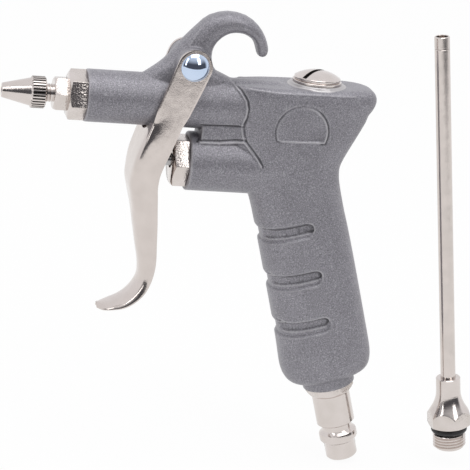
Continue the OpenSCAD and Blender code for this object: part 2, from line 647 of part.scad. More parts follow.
// Spare nozzle: its thread's end stands beside the inlet plug
spare_x = 37.1;
spare_z = 4;
spare_groove_l = 2.6;
spare_groove_d = 8.4;
spare_wire = 1.9;
spare_hex_l = 5.1;
spare_neck_l = 12.1;
spare_neck_d = 8.2;
spare_bore_d = 3.2;
spare_socket_l = 9;
outlet_l = 4;
outlet_bore_d = 2;
bell_foot_share = 0.5;
bell_curve = 3.3;
hex_s = spare_thread_l + spare_groove_l;
neck_s = hex_s + spare_hex_l;
neck_top = neck_s + spare_neck_l;
module spare_fitting() color([0.86, 0.84, 0.8]) {
    difference() {
        union() {
            on_spare(0) cylinder(d1 = spare_thread_d - 2 * edge, d2 = spare_thread_d, h = edge);
            on_spare(edge) cylinder(d = spare_thread_d, h = spare_thread_l - edge);
            on_spare(edge) cylinder(d = spare_groove_d, h = hex_s);
            on_spare(hex_s) rotate([0, 0, 30]) hexagon(spare_af, spare_hex_l, both = true);
            on_spare(neck_s) rotate_extrude() polygon(concat(
                [[0, -edge], [spare_af * bell_foot_share, -edge]],
                [for (i = [0:14]) let (t = i / 14)
                    [spare_neck_d / 2 + (spare_af * bell_foot_share - spare_neck_d / 2) * pow(1 - t, bell_curve), spare_neck_l * t]],
                [[0, spare_neck_l]]));
        }
        on_spare(-over) cylinder(d = spare_bore_d, h = neck_top + 2 * over);
        on_spare(neck_top - spare_socket_l) cylinder(d = tube_d + 2 * seat_gap, h = spare_socket_l + over);
    }
}

module spare_o_ring() color([0.08, 0.08, 0.08])
    on_spare(spare_thread_l + (spare_groove_l - spare_wire) / 2) o_ring(spare_groove_d + 2 * seat_gap, spare_wire);

module spare_tube() color([0.8, 0.79, 0.76])
    on_spare(neck_top - spare_socket_l + seat_gap)
        ring(tube_d, spare_bore_d, spare_l - outlet_l - neck_top + spare_socket_l - seat_gap);

module spare_outlet() color([0.84, 0.82, 0.8]) {
    difference() {
        union() {
            on_spare(spare_l - outlet_l) cylinder(d = tube_d, h = outlet_l - edge / 2);
            on_spare(spare_l - edge / 2) cylinder(d1 = tube_d, d2 = tube_d - edge, h = edge / 2);
            on_spare(spare_l - 2 * outlet_l) cylinder(d = spare_bore_d - 2 * seat_gap, h = outlet_l + edge);
        }
        on_spare(spare_l - 2 * outlet_l - over) cylinder(d = outlet_bore_d, h = 2 * outlet_l + 2 * over);
    }
}

body_casting();
trigger_lever();
pivot_rivet();
valve_gland_nut();
gland_ring();
valve_stem();
stem_o_ring();
valve_cage();
cage_o_ring();
valve_poppet();
poppet_seal();
valve_spring();
nozzle_bushing();
bushing_seal();
nozzle_holder();
nozzle_tip();
tip_seal();
port_plug();
port_plug_washer();
inlet_plug();
inlet_seal();
spare_tube();
spare_outlet();
spare_fitting();
spare_o_ring();
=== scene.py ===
"""Pneumatic air duster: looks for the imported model, in metres, in the CAD's own frame."""

import math

import bmesh
import bpy
import numpy as np
from mathutils import Matrix, Vector


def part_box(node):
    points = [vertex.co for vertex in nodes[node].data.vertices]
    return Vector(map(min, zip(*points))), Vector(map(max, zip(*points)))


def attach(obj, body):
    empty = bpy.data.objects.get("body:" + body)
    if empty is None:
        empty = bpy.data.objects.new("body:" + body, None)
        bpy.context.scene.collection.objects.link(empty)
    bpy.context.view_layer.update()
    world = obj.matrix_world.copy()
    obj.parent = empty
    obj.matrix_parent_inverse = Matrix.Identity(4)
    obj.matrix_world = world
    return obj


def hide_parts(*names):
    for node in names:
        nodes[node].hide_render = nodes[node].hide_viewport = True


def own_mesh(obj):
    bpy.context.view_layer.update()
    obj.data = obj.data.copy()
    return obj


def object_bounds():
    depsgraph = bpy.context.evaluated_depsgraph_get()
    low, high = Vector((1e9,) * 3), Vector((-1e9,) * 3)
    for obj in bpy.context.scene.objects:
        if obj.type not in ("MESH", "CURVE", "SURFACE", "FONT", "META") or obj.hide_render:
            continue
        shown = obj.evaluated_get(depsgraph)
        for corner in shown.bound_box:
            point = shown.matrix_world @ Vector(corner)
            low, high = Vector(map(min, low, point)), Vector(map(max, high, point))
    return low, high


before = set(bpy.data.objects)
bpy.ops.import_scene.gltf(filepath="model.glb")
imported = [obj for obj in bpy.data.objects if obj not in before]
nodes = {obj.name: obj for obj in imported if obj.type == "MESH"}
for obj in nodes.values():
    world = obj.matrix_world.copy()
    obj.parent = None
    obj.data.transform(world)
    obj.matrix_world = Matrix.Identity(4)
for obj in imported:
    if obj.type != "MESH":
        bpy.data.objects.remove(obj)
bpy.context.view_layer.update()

# Lengths are in millimetres, as in the part's source, and this matrix turns them to metres.
MILLIMETRES = Matrix.Scale(0.001, 4)
# the grip's rake, the barrel's and the valve's heights, and the X of what is spun round them
RAKE = math.radians(17)
BARREL_H = 118.0
VALVE_H = 98.7
VALVE_FRONT = -63.976
BARREL_FRONT = -98.276
HOLDER_X = -108.376
TIP_FRONT = -124.576
# the lever's pivot and size
PIVOT_X = -65.976
PIVOT_H = 131.1
LEVER_W = 19.9
LEVER_L = 81.0
SHEET_T = 1.5
# the port on the head's top, the end of the inlet's boss along the grip, and the spare nozzle's foot
PORT_X = -24.176
PORT_BASE = 127.7
BOSS_END = 26.8
SPARE_LEAN = math.radians(8.9)
SPARE_X = 37.1
SPARE_Z = 4.0
# edges sharper than this stay crisp
SHARP = math.radians(32)


def on_barrel(x):
    return MILLIMETRES @ Matrix.Translation((x, 0, BARREL_H)) @ Matrix.Rotation(math.pi / 2, 4, "Y")


def on_valve(x):
    return MILLIMETRES @ Matrix.Translation((x, 0, VALVE_H)) @ Matrix.Rotation(math.pi / 2, 4, "Y")


def raked(s):
    return MILLIMETRES @ Matrix.Rotation(-RAKE, 4, "Y") @ Matrix.Translation((0, 0, s))


def on_spare(s):
    return (MILLIMETRES @ Matrix.Translation((SPARE_X, 0, SPARE_Z))
            @ Matrix.Rotation(-SPARE_LEAN, 4, "Y") @ Matrix.Translation((0, 0, s)))


def upright(x, z):
    return MILLIMETRES @ Matrix.Translation((x, 0, z))


def across(x, z):
    return MILLIMETRES @ Matrix.Translation((x, 0, z)) @ Matrix.Rotation(math.pi / 2, 4, "X")


# Materials

def to_linear(hexes):
    shares = [int(hexes[i:i + 2], 16) / 255 for i in (1, 3, 5)]
    return [s / 12.92 if s <= 0.04045 else ((s + 0.055) / 1.055) ** 2.4 for s in shares] + [1]


def add(tree, kind, values=None, links=None, stops=(), **options):
    """One more node of this kind, with its options, socket values, links and, on a ramp, its stops."""
    node = tree.nodes.new("ShaderNode" + kind)
    for name, value in options.items():
        setattr(node, name, value)
    for name, value in (values or {}).items():
        node.inputs[name].default_value = value
    for name, (source, output) in (links or {}).items():
        tree.links.new(source.outputs[output], node.inputs[name])
    if stops:
        marks = node.color_ramp.elements
        while len(marks) < len(stops):
            marks.new(0.5)
        for mark, (position, colour) in zip(marks, stops):
            mark.position = position
            mark.color = colour
    return node


def new_material(name):
    material = bpy.data.materials.new(name)
    material.use_nodes = True
    material.node_tree.nodes.clear()
    return material, material.node_tree


def sprayed_casting():
    """Die-cast alloy sprayed with fine metallic lacquer: a satin grey with bright and dark flakes under it,
    a faint orange peel, a painted highlight along its edges and painted shade in its creases. The rim round
    the port is machined bare."""
    material, tree = new_material("sprayed_casting")
    place = add(tree, "TexCoord")
    # real flakes are near 0.05 mm, and are drawn near 0.4 mm so that they show
    flakes = add(tree, "TexNoise", {"Scale": 2700, "Detail": 3.0, "Roughness": 0.75},
                 {"Vector": (place, "Object")})
    grey = add(tree, "ValToRGB", links={"Fac": (flakes, "Fac")},
               stops=[(0.30, to_linear("#69676D")), (0.46, to_linear("#88868C")),
                      (0.57, to_linear("#9B999F")), (0.72, to_linear("#C8C6CC"))])
    # cloudy changes of tone some 9 mm across, from spraying by hand
    clouds = add(tree, "TexNoise", {"Scale": 110, "Detail": 3.0}, {"Vector": (place, "Object")})
    cloud = add(tree, "ValToRGB", links={"Fac": (clouds, "Fac")},
                stops=[(0.3, (0.93, 0.93, 0.93, 1)), (0.7, (1.05, 1.05, 1.05, 1))])
    tone = add(tree, "Mix", {0: 1.0}, {6: (grey, "Color"), 7: (cloud, "Color")},
               data_type="RGBA", blend_type="MULTIPLY")
    # painted shade darkens the creases, and a painted highlight lightens the edges
    ridge = add(tree, "Attribute", attribute_name="ridge")
    crease_shade = add(tree, "MapRange", {"From Min": -0.15, "From Max": -0.025, "To Min": 0.35},
                 {"Value": (ridge, "Fac")})
    tone = add(tree, "Mix", {0: 1.0}, {6: (tone, 2), 7: (crease_shade, "Result")},
               data_type="RGBA", blend_type="MULTIPLY")
    # a painted highlight in pale grey on the convex edges
    edge_highlight = add(tree, "MapRange", {"From Min": 0.025, "From Max": 0.14, "To Max": 0.7},
                 {"Value": (ridge, "Fac")})
    edge_lit_tone = add(tree, "Mix", {7: to_linear("#CBC9CC")}, {0: (edge_highlight, "Result"), 6: (tone, 2)},
               data_type="RGBA")
    # blowholes under the lacquer, 0.5 mm wide and some 6 mm apart
    holes = add(tree, "TexVoronoi", {"Scale": 170, "Randomness": 1.0}, {"Vector": (place, "Object")})
    pit = add(tree, "MapRange", {"From Min": 0.035, "From Max": 0.055, "To Min": 0.55, "To Max": 1.0},
              {"Value": (holes, "Distance")})
    edge_lit_tone = add(tree, "Mix", {0: 1.0}, {6: (edge_lit_tone, 2), 7: (pit, "Result")},
               data_type="RGBA", blend_type="MULTIPLY")
    # bare metal within 9.3 mm of the port's axis, above the head's top
    away = add(tree, "VectorMath", {1: (PORT_X * 0.001, 0, 0)}, {0: (place, "Object")}, operation="SUBTRACT")
    flat = add(tree, "VectorMath", {1: (1, 1, 0)}, {0: (away, "Vector")}, operation="MULTIPLY")
    radius = add(tree, "VectorMath", links={0: (flat, "Vector")}, operation="LENGTH")
    axes = add(tree, "SeparateXYZ", links={"Vector": (place, "Object")})
    inside = add(tree, "MapRange", {"From Min": 0.0096, "From Max": 0.0093}, {"Value": (radius, "Value")})
    above = add(tree, "MapRange", {"From Min": 0.12565, "From Max": 0.12585}, {"Value": (axes, "Z")})
    bare = add(tree, "Math", links={0: (inside, "Result"), 1: (above, "Result")}, operation="MULTIPLY")
    skin = add(tree, "Mix", {7: to_linear("#BDBABA")}, {0: (bare, "Value"), 6: (edge_lit_tone, 2)}, data_type="RGBA")
    # orange peel 0.7 mm across
    peel = add(tree, "TexNoise", {"Scale": 1500, "Detail": 2.0}, {"Vector": (place, "Object")})
    bump = add(tree, "Bump", {"Strength": 0.3, "Distance": 0.0001}, {"Height": (peel, "Fac")})
    gloss = add(tree, "MapRange", {"To Min": 0.34, "To Max": 0.50}, {"Value": (flakes, "Fac")})
    gloss = add(tree, "Mix", {3: 0.38}, {0: (bare, "Value"), 2: (gloss, "Result")})
    metal = add(tree, "Mix", {2: 0.35, 3: 0.8}, {0: (bare, "Value")})
    shader = add(tree, "BsdfPrincipled", links={"Base Color": (skin, 2), "Roughness": (gloss, 0),
                                                "Metallic": (metal, 0), "Normal": (bump, "Normal")})
    add(tree, "OutputMaterial", links={"Surface": (shader, "BSDF")})
    return material


def bright_metal(name, colours, roughness, mottle, wave, rings=0.0):
    """Plated or bare bright metal. mottle is the orange peel of rolled or drawn stock, wave the slow wobble
    of a pressed or polished face, and rings the marks that a lathe tool leaves round a turned piece."""
    material, tree = new_material(name)
    place = add(tree, "TexCoord")
    # peel 0.6 mm across, wobble 5 mm across
    fine = add(tree, "TexNoise", {"Scale": 1700, "Detail": 2.0}, {"Vector": (place, "Object")})
    slow = add(tree, "TexNoise", {"Scale": 200, "Detail": 1.0}, {"Vector": (place, "Object")})
    bump = add(tree, "Bump", {"Strength": wave, "Distance": 0.0006}, {"Height": (slow, "Fac")})
    bump = add(tree, "Bump", {"Strength": mottle, "Distance": 0.00025},
               {"Height": (fine, "Fac"), "Normal": (bump, "Normal")})
    if rings:
        along = add(tree, "Attribute", attribute_name="along")
        # tool marks lie 0.15 mm apart and are drawn at 0.35 mm
        marks = add(tree, "TexNoise", {"Scale": 2.8, "Detail": 2.0, "Roughness": 0.8}, {"W": (along, "Fac")},
                    noise_dimensions="1D")
        bump = add(tree, "Bump", {"Strength": rings, "Distance": 0.00006},
                   {"Height": (marks, "Fac"), "Normal": (bump, "Normal")})
    # patches rubbed duller or brighter, 2 mm across
    rub = add(tree, "TexNoise", {"Scale": 600, "Detail": 4.0}, {"Vector": (place, "Object")})
    gloss = add(tree, "MapRange", {"From Min": 0.3, "From Max": 0.7, "To Min": roughness * 0.75,
                                   "To Max": roughness * 1.4}, {"Value": (rub, "Fac")})
    tint = add(tree, "ValToRGB", links={"Fac": (slow, "Fac")},
               stops=[(0.3, to_linear(colours[0])), (0.7, to_linear(colours[1]))])
    shader = add(tree, "BsdfPrincipled", {"Metallic": 1.0},
                 {"Base Color": (tint, "Color"), "Roughness": (gloss, "Result"), "Normal": (bump, "Normal")})
    add(tree, "OutputMaterial", links={"Surface": (shader, "BSDF")})
    return material


def nitrile_rubber():
    """Moulded nitrile rubber: a matt black with a little bloom, in patches 1 mm across."""
    material, tree = new_material("nitrile_rubber")
    place = add(tree, "TexCoord")
    bloom = add(tree, "TexNoise", {"Scale": 900, "Detail": 3.0}, {"Vector": (place, "Object")})
    tone = add(tree, "ValToRGB", links={"Fac": (bloom, "Fac")},
               stops=[(0.3, to_linear("#191819")), (0.75, to_linear("#2B292B"))])
    bump = add(tree, "Bump", {"Strength": 0.2, "Distance": 0.0001}, {"Height": (bloom, "Fac")})
    shader = add(tree, "BsdfPrincipled", {"Roughness": 0.48},
                 {"Base Color": (tone, "Color"), "Normal": (bump, "Normal")})
    add(tree, "OutputMaterial", links={"Surface": (shader, "BSDF")})
    return material


CAST = sprayed_casting()
# plated pressed sheet: a soft mirror with the press's slow wobble in it
PRESSED = bright_metal("nickel_on_pressed_steel", ("#D6CDC8", "#CFC6C1"), 0.14, 0.04, 0.08)
# plated turned brass: clean bands, broken by the tool's rings
TURNED = bright_metal("nickel_on_turned_brass", ("#D8D0CC", "#D2CAC5"), 0.12, 0.02, 0.03, rings=0.25)
# the flats of drawn hexagon bar under plate: bright, with a pebbled skin
MILLED = bright_metal("nickel_on_drawn_hexagon", ("#D8D0CC", "#CEC6C0"), 0.16, 0.6, 0.14)
# plated drawn tube: one long even streak
TUBE = bright_metal("nickel_on_drawn_tube", ("#D8CFCA", "#D0C8C3"), 0.17, 0.04, 0.03)
# zinc plate with a blue passivation: a small cold mirror
ZINC = bright_metal("blue_zinc_plate", ("#C9D8EE", "#C3D3EA"), 0.05, 0.016, 0.04)
# plate in saw and knurl cuts, painted brown-black for the shade that falls in them and the dirt that stays
# there
GROOVE = bright_metal("shaded_dirty_nickel_in_cuts", ("#4A4542", "#36322F"), 0.4, 0.12, 0.1)
# ground or drawn steel: an even soft grey
STEEL = bright_metal("ground_steel", ("#B9B8B8", "#A9A8A8"), 0.22, 0.06, 0.02)
# bare turned brass: warm yellow, a little dulled
BRASS = bright_metal("bare_brass", ("#DDBB72", "#D2AF66"), 0.22, 0.06, 0.05)
RUBBER = nitrile_rubber()


# Mesh helpers

def as_piece(name, bm, body, materials, replaced, sharp=SHARP):
    """A finished mesh as a piece of the scene, smooth but for edges sharper than the given angle."""
    bmesh.ops.recalc_face_normals(bm, faces=bm.faces)
    mesh = bpy.data.meshes.new(name)
    bm.to_mesh(mesh)
    bm.free()
    piece = bpy.data.objects.new(name, mesh)
    bpy.context.scene.collection.objects.link(piece)
    for material in materials:
        mesh.materials.append(material)
    mesh.shade_smooth()
    mesh.set_sharp_from_angle(angle=sharp)
    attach(piece, body)
    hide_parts(*replaced)
    return piece


def spun(bm, profile, steps=96):
    """Turns a profile of (distance along Z, radius) rows round Z."""
    before = set(bm.verts)
    points = [bm.verts.new((radius, 0, s)) for s, radius in profile]
    edges = [bm.edges.new(pair) for pair in zip(points, points[1:])]
    bmesh.ops.spin(bm, geom=points + edges, cent=(0, 0, 0), axis=(0, 0, 1), angle=2 * math.pi,
                   steps=steps, use_merge=True)
    made = [v for v in bm.verts if v not in before]
    bmesh.ops.remove_doubles(bm, verts=made, dist=0.0005)


def note_along(bm):
    """Keeps each vertex's distance along Z, which the lathe marks follow."""
    layer = bm.verts.layers.float.new("along")
    for v in bm.verts:
        v[layer] = v.co.z


def helix(bm, root, crest, pitch, start, turns, steps=40):
    """Adds the ridge of a screw thread round Z, closed at both ends, and gives its vertices."""
    before = set(bm.verts)
    # half the ridge's width at its root and at its crest
    half = pitch * 0.46
    flat = pitch * 0.09
    corners = [bm.verts.new((r, 0, start + z)) for r, z in
               ((root - 0.06, -half), (crest, -flat), (crest, flat), (root - 0.06, half))]
    bm.faces.new(corners)
    face = corners[0].link_faces[0]
    bmesh.ops.spin(bm, geom=[face], cent=(0, 0, 0), axis=(0, 0, 1), angle=2 * math.pi * turns,
                   dvec=(0, 0, pitch / steps), steps=int(steps * turns), use_merge=False)
    return [v for v in bm.verts if v not in before]


def within_radius(verts, limit):
    """Pulls vertices in where they pass limit(z), as a lathe turns down a thread's end."""
    for v in verts:
        r = math.hypot(v.co.x, v.co.y)
        most = limit(v.co.z)
        if r > most:
            v.co.x *= most / r
            v.co.y *= most / r


# Casting: the CAD's solid as one fine skin, whose corners are rounded as a casting's are

def applied(piece):
    """Makes the piece's modifiers part of its mesh."""
    graph = bpy.context.evaluated_depsgraph_get()
    mesh = bpy.data.meshes.new_from_object(piece.evaluated_get(graph))
    piece.modifiers.clear()
    piece.data = mesh


# middles of the three finger grooves along the grip, and how far back each one's round end reaches
GROOVES = [(52.0, 1.9), (68.2, 2.3), (84.4, 2.7)]
# half a groove's width, its depth and the width of its sloping wall
GROOVE_R = 1.5
GROOVE_DEPTH = 0.55
GROOVE_WALL = 0.36
# where the head stands out from the barrel, the web and the valve's housing, as (x, z)
HEAD_EDGE = [(-54.3, 127.9), (-52.3, 125.9), (-50.0, 123.6), (-48.1, 120.9), (-47.5, 118.5), (-47.7, 115.6),
             (-48.2, 113.9), (-48.4, 112.4), (-48.0, 110.3), (-47.1, 107.5), (-45.1, 105.2), (-42.7, 102.5),
             (-41.2, 100.4)]
# the web's crease under the barrel and the lip that ends it over the valve's housing
WEB_TOP = [(-61.5, 112.3), (-48.6, 112.7)]
WEB_LIP = [(-61.2, 106.3), (-55, 106.4), (-47.6, 107.3)]
# middle, radius and straight lower edge of the shallow recess in the head's near side
RECESS = (-29.6, 112.6)
RECESS_R = 8.5
RECESS_FLOOR = 109.2
# the line where the head's top turns into its side, and the rib along the hook
HEAD_TOP = [(-50.5, 126.2), (-46.6, 124.9), (-38.6, 124.7), (-22.8, 124.9), (-13.5, 124.8)]
HOOK_RIB = [(-67.4, 136.8), (-65.0, 141.2), (-62.4, 144.6), (-60.2, 146.4)]

# the dense skin's spacing in metres, its passes of smoothing, which round the corners by about 0.5 mm, and
# how far it is thinned at the end
VOXEL = 0.00032
SMOOTHINGS = 5
MOST_TRIANGLES = 194000


def bump_over(distance, half):
    """1 on the line, and about a third at half's distance from it."""
    return np.exp(-(distance / half) ** 2)


def from_line(x, z, line):
    """Distance from each point to the line, below zero on the right of the line's way, seen from near."""
    best = np.full(len(x), 99.0)
    side = np.ones(len(x))
    for (ax, az), (bx, bz) in zip(line, line[1:]):
        dx, dz = bx - ax, bz - az
        t = np.clip(((x - ax) * dx + (z - az) * dz) / (dx * dx + dz * dz), 0, 1)
        d = np.hypot(x - ax - t * dx, z - az - t * dz)
        turned = (x - ax) * dz - (z - az) * dx
        side = np.where(d < best, -np.sign(turned), side)
        best = np.minimum(d, best)
    return best * side


def stamp_creases(mesh):
    """Sinks and raises the skin along the die's crisp lines, in millimetres. u runs across the raked grip
    and s along it."""
    count = len(mesh.vertices)
    co = np.empty(count * 3)
    normal = np.empty(count * 3)
    mesh.vertices.foreach_get("co", co)
    mesh.vertices.foreach_get("normal", normal)
    co, normal = co.reshape(-1, 3) * 1000, normal.reshape(-1, 3)
    x, y, z = co.T
    # 1 where the skin faces sideways, where the creases are
    facing = np.clip((np.abs(normal[:, 1]) - 0.25) / 0.3, 0, 1)
    u = x * math.cos(RAKE) + z * math.sin(RAKE)
    s = z * math.cos(RAKE) - x * math.sin(RAKE)
    lift = np.zeros(count)
    # the grooves widen and drop towards the grip's front edge
    for middle, reach in GROOVES:
        end = reach - GROOVE_R
        flare = np.clip((-9.5 - u) / 4.5, 0, 1) ** 2
        off = s - middle - 1.0 * flare
        d = np.hypot(np.maximum(u - end, 0), off) - GROOVE_R * (1 + 0.45 * flare)
        sunk = np.clip(0.5 - d / GROOVE_WALL, 0, 1)
        side = np.clip((facing - 0.1) / 0.5, 0, 1)
        lift -= GROOVE_DEPTH * sunk * side
    # each crease is a low ridge beside a furrow
    d = from_line(x, z, HEAD_EDGE)
    whole = facing * (z > 96)
    lift += whole * (0.26 * bump_over(d + 0.12, 0.34) - 0.38 * bump_over(d - 0.5, 0.34))
    d = from_line(x, z, WEB_TOP)
    lift += facing * (0.18 * bump_over(d - 0.3, 0.3) - 0.34 * bump_over(d + 0.35, 0.35))
    d = from_line(x, z, WEB_LIP)
    lift += facing * (0.5 * bump_over(d, 0.42) - 0.3 * bump_over(d - 0.8, 0.4))
    lift += 0.22 * facing * bump_over(from_line(x, z, HOOK_RIB), 0.5)
    # the recess: a step, a furrow that is deepest at the sides, and a ridge inside it on the right and below
    near = (y < 0) * facing
    d = np.hypot(x - RECESS[0], z - RECESS[1]) - RECESS_R
    d = np.maximum(d, RECESS_FLOOR - z)
    right = np.clip((x - RECESS[0] + 3) / 8, 0, 1) * (z > RECESS_FLOOR)
    sides = 0.4 + 0.6 * np.clip(np.abs(x - RECESS[0]) / 6, 0, 1)
    lift += near * (0.2 * np.clip(0.5 - d / 0.3, 0, 1) - 0.36 * sides * bump_over(d, 0.28))
    lift += near * 0.26 * right * bump_over(d + 0.5, 0.3)
    lip = np.clip(7 - np.abs(x - RECESS[0] + 0.3), 0, 1)
    lift += near * lip * 0.5 * bump_over(z - RECESS_FLOOR - 0.1, 0.32)
    lift += 0.20 * bump_over(from_line(x, z, HEAD_TOP), 0.5) * (np.abs(y) > 6)
    # the inlet's boss ends a little higher than the CAD's
    short = (s < BOSS_END) * (np.hypot(u, y) < 9.5)
    rise = short * (BOSS_END - s)
    co += normal * lift[:, None]
    co[:, 0] -= rise * math.sin(RAKE)
    co[:, 2] += rise * math.cos(RAKE)
    mesh.vertices.foreach_set("co", (co / 1000).ravel())
    mesh.update()


def keep_ridges(mesh, spacing):
    """Keeps how far each vertex stands out from its neighbours, for the lacquer's painted highlights on edges
    and painted shade in hollows.
    """
    count = len(mesh.vertices)
    ends = np.empty(len(mesh.edges) * 2, dtype=np.int32)
    mesh.edges.foreach_get("vertices", ends)
    one = np.concatenate((ends[0::2], ends[1::2]))
    other = np.concatenate((ends[1::2], ends[0::2]))
    links = np.maximum(np.bincount(one, minlength=count), 1)
    co = np.empty(count * 3)
    normal = np.empty(count * 3)
    mesh.vertices.foreach_get("co", co)
    mesh.vertices.foreach_get("normal", normal)
    out = np.zeros(count)
    for axis in range(3):
        along = co[axis::3]
        around = np.bincount(one, weights=along[other], minlength=count) / links
        out += (along - around) * normal[axis::3] / spacing
    for _ in range(2):
        out = (out + np.bincount(one, weights=out[other], minlength=count) / links) / 2
    mesh.attributes.new("ridge", "FLOAT", "POINT").data.foreach_set("value", out.astype(np.float32))


def make_casting():
    """The CAD's casting, remeshed and smoothed to round its corners, then stamped and thinned."""
    bm = bmesh.new()
    bm.from_mesh(nodes["body_casting"].data)
    bmesh.ops.remove_doubles(bm, verts=bm.verts, dist=1e-6)
    mesh = bpy.data.meshes.new("casting_skin")
    bm.to_mesh(mesh)
    bm.free()
    skin = bpy.data.objects.new("casting_skin", mesh)
    bpy.context.scene.collection.objects.link(skin)
    remesh = skin.modifiers.new("voxels", "REMESH")
    remesh.mode = "VOXEL"
    remesh.voxel_size = VOXEL
    applied(skin)
    bm = bmesh.new()
    bm.from_mesh(skin.data)
    bpy.data.objects.remove(skin)
    for _ in range(SMOOTHINGS):
        bmesh.ops.smooth_vert(bm, verts=bm.verts, factor=0.5,
                              use_axis_x=True, use_axis_y=True, use_axis_z=True)
    piece = as_piece("casting", bm, "gun", [CAST], ["body_casting"], sharp=math.pi)
    stamp_creases(piece.data)
    keep_ridges(piece.data, VOXEL)
    thin = piece.modifiers.new("thinner", "DECIMATE")
    thin.ratio = min(1.0, MOST_TRIANGLES / (2 * len(piece.data.polygons)))
    applied(piece)
    piece.data.shade_smooth()


make_casting()


# Lever: one pressed sheet, lofted over stations from the web's top to the tip, with two flat arms

# (x, z) of each station's crown and of its rim from the pivot as shares of LEVER_L, its width as a share of
# LEVER_W, and how square its corners are
LEVER_STATIONS = [
    (-0.1672, -0.2975, -0.0469, -0.3074, 1.000, 9.0), (-0.1808, -0.3420, -0.0630, -0.3519, 1.000, 9.0),
    (-0.1925, -0.3877, -0.0790, -0.3938, 0.998, 8.0), (-0.1997, -0.4395, -0.0926, -0.4432, 0.980, 6.5),
    (-0.2021, -0.4889, -0.0951, -0.4926, 0.935, 5.0), (-0.1912, -0.5383, -0.0901, -0.5321, 0.870, 3.8),
    (-0.1767, -0.5963, -0.0840, -0.5864, 0.805, 3.0), (-0.1629, -0.6630, -0.0765, -0.6531, 0.750, 2.6),
    (-0.1463, -0.7395, -0.0704, -0.7296, 0.705, 2.4), (-0.1312, -0.8037, -0.0654, -0.8012, 0.680, 2.3),
    (-0.1247, -0.8432, -0.0691, -0.8531, 0.670, 2.3), (-0.1244, -0.8795, -0.0802, -0.8975, 0.670, 2.3),
    (-0.1367, -0.9130, -0.1000, -0.9390, 0.680, 2.3), (-0.1590, -0.9461, -0.1346, -0.9751, 0.690, 2.3),
    (-0.1884, -0.9730, -0.1741, -0.9990, 0.670, 2.4), (-0.2215, -0.9892, -0.2185, -1.0110, 0.590, 2.4),
    (-0.2521, -0.9980, -0.2520, -1.0190, 0.420, 2.2), (-0.2741, -1.0000, -0.2741, -1.0200, 0.140, 2.0)]


def between(rows, t):
    """Smooth place at t along the rows, through each of them."""
    i = min(int(t), len(rows) - 2)
    a, b, c, d = (rows[min(max(i + k, 0), len(rows) - 1)] for k in (-1, 0, 1, 2))
    t -= i
    return [0.5 * (2 * q + (r - p) * t + (2 * p - 5 * q + 4 * r - s) * t * t
                   + (3 * q - p - 3 * r + s) * t ** 3) for p, q, r, s in zip(a, b, c, d)]


def evenly(points, count):
    """The open line of points again, with count points at equal distances."""
    reach = [0.0]
    for a, b in zip(points, points[1:]):
        reach.append(reach[-1] + (b - a).length)
    line, i = [], 0
    for k in range(count):
        want = reach[-1] * k / (count - 1)
        while i < len(reach) - 2 and reach[i + 1] < want:
            i += 1
        share = (want - reach[i]) / max(reach[i + 1] - reach[i], 1e-9)
        line.append(points[i].lerp(points[i + 1], min(max(share, 0), 1)))
    return line


# the lever's grid: vertices across it, those of them on each arm, and its rows
LEVER_COLUMNS = 65
ARM_COLUMNS = 17
CHANNEL_ROWS = 100
ARM_ROWS = 44
# the web's top edge rises over its first rows and is cut to clear the barrel: the cut's radius, the most that
# the edge rises, and how far under the pivot it starts
SADDLE_R = 9.2
WEB_ROWS = 10
WEB_RISE = 5.67
WEB_DROP = 24.1
# the arm from the pivot: its round end's radius, its lean, and its edges up to the round end
ARM_R = 5.5
ARM_LEAN = math.radians(17.4)
ARM_UP = Vector((math.sin(ARM_LEAN), 0, math.cos(ARM_LEAN)))
ARM_BACK = Vector((math.cos(ARM_LEAN), 0, -math.sin(ARM_LEAN)))
ARM_REAR = [Vector(p) for p in ((-2.1, 0, -19.5), (-0.2, 0, -15.8), (3.4, 0, -6.7), (5.25, 0, -1.64))]
ARM_FRONT = [Vector(p) for p in ((-11.85, 0, -18.7), (-5.25, 0, 1.64))]


def channel_section(t):
    """Outer face of the channel at station t, from the near rim round the web to the far rim."""
    row = between(LEVER_STATIONS, t)
    crown = Vector((row[0], 0, row[1])) * LEVER_L
    rim = Vector((row[2], 0, row[3])) * LEVER_L
    half, power = LEVER_W / 2 * row[4], 2 / row[5]
    points = []
    for i in range(241):
        a = math.radians(-90 + 180 * i / 240)
        out = math.copysign(abs(math.sin(a)) ** power, math.sin(a))
        deep = 1 - abs(math.cos(a)) ** power
        points.append(crown.lerp(rim, deep) + Vector((0, half * out, 0)))
    return evenly(points, LEVER_COLUMNS)


def along_arm(share):
    """Rear and front end of the arm's chord, from the channel at 0, past the pivot, to the round end at 1."""
    straight = 0.68
    if share < straight:
        t = share / straight
        rear = evenly(ARM_REAR, 60)[round(t * 59)]
        return rear, ARM_FRONT[0].lerp(ARM_FRONT[1], t)
    turn = (share - straight) / (1 - straight) * math.pi / 2
    middle, half = ARM_UP * ARM_R * math.sin(turn), ARM_BACK * ARM_R * math.cos(turn)
    return middle + half, middle - half


def swollen(z):
    """Share by which the sides stand out from 38 to 16.5 mm below the pivot, where the press bent them."""
    return 0.05 * (1 - min(max((z + 24) / 7.5, 0), 1)) * min(max((z + 38) / 12, 0), 1)


